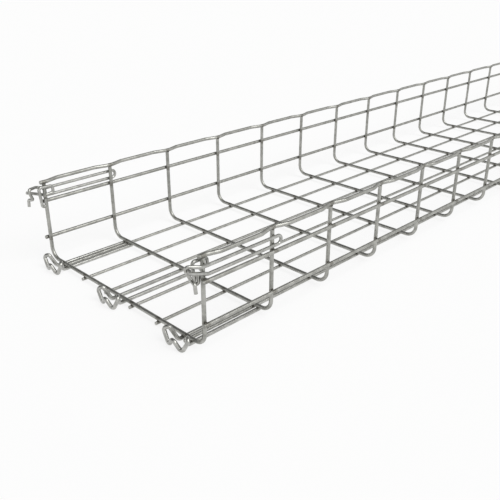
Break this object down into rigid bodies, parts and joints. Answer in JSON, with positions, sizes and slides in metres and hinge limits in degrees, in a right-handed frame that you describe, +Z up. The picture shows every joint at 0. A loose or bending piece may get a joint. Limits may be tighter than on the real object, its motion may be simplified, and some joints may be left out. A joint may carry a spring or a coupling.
{
  "type": "wire mesh cable basket",
  "caption": "Open-topped cable basket of welded steel wire: bent cross wires, straight floor and side wires, waved rim wires and bent wire connectors at one end.",
  "frame": {"origin": "centre of the bounding box seen from above, at the level of its lowest point", "axes": "+X across the basket from the left wall to the right wall as seen from the connector end, +Y along the basket away from the connectors, +Z up out of the open top"},
  "size_m": [0.331, 3.0282, 0.1146],
  "materials": {
    "tray_wire": "satin galvanised wire",
    "connector_wire": "bright smooth spring wire"
  },
  "bodies": {
    "root": {"cross_wire_01": "tray_wire", "cross_wire_02": "tray_wire", "cross_wire_03": "tray_wire", "cross_wire_04": "tray_wire", "cross_wire_05": "tray_wire", "cross_wire_06": "tray_wire", "cross_wire_07": "tray_wire", "cross_wire_08": "tray_wire", "cross_wire_09": "tray_wire", "cross_wire_10": "tray_wire", "cross_wire_11": "tray_wire", "cross_wire_12": "tray_wire", "cross_wire_13": "tray_wire", "cross_wire_14": "tray_wire", "cross_wire_15": "tray_wire", "cross_wire_16": "tray_wire", "cross_wire_17": "tray_wire", "cross_wire_18": "tray_wire", "cross_wire_19": "tray_wire", "cross_wire_20": "tray_wire", "cross_wire_21": "tray_wire", "cross_wire_22": "tray_wire", "cross_wire_23": "tray_wire", "cross_wire_24": "tray_wire", "cross_wire_25": "tray_wire", "cross_wire_26": "tray_wire", "cross_wire_27": "tray_wire", "cross_wire_28": "tray_wire", "cross_wire_29": "tray_wire", "cross_wire_30": "tray_wire", "cross_wire_31": "tray_wire", "floor_wire_1": "tray_wire", "floor_wire_2": "tray_wire", "floor_wire_3": "tray_wire", "floor_wire_4": "tray_wire", "floor_wire_5": "tray_wire", "floor_wire_6": "tray_wire", "side_wire_left_low": "tray_wire", "side_wire_left_high": "tray_wire", "side_wire_right_low": "tray_wire", "side_wire_right_high": "tray_wire", "rim_wire_left": "tray_wire", "rim_wire_right": "tray_wire", "floor_connector_left": "connector_wire", "floor_connector_middle": "connector_wire", "floor_connector_right": "connector_wire", "top_connector_left": "connector_wire", "top_connector_right": "connector_wire", "top_latch_left": "connector_wire", "top_latch_right": "connector_wire"}
  },
  "joints": []
}
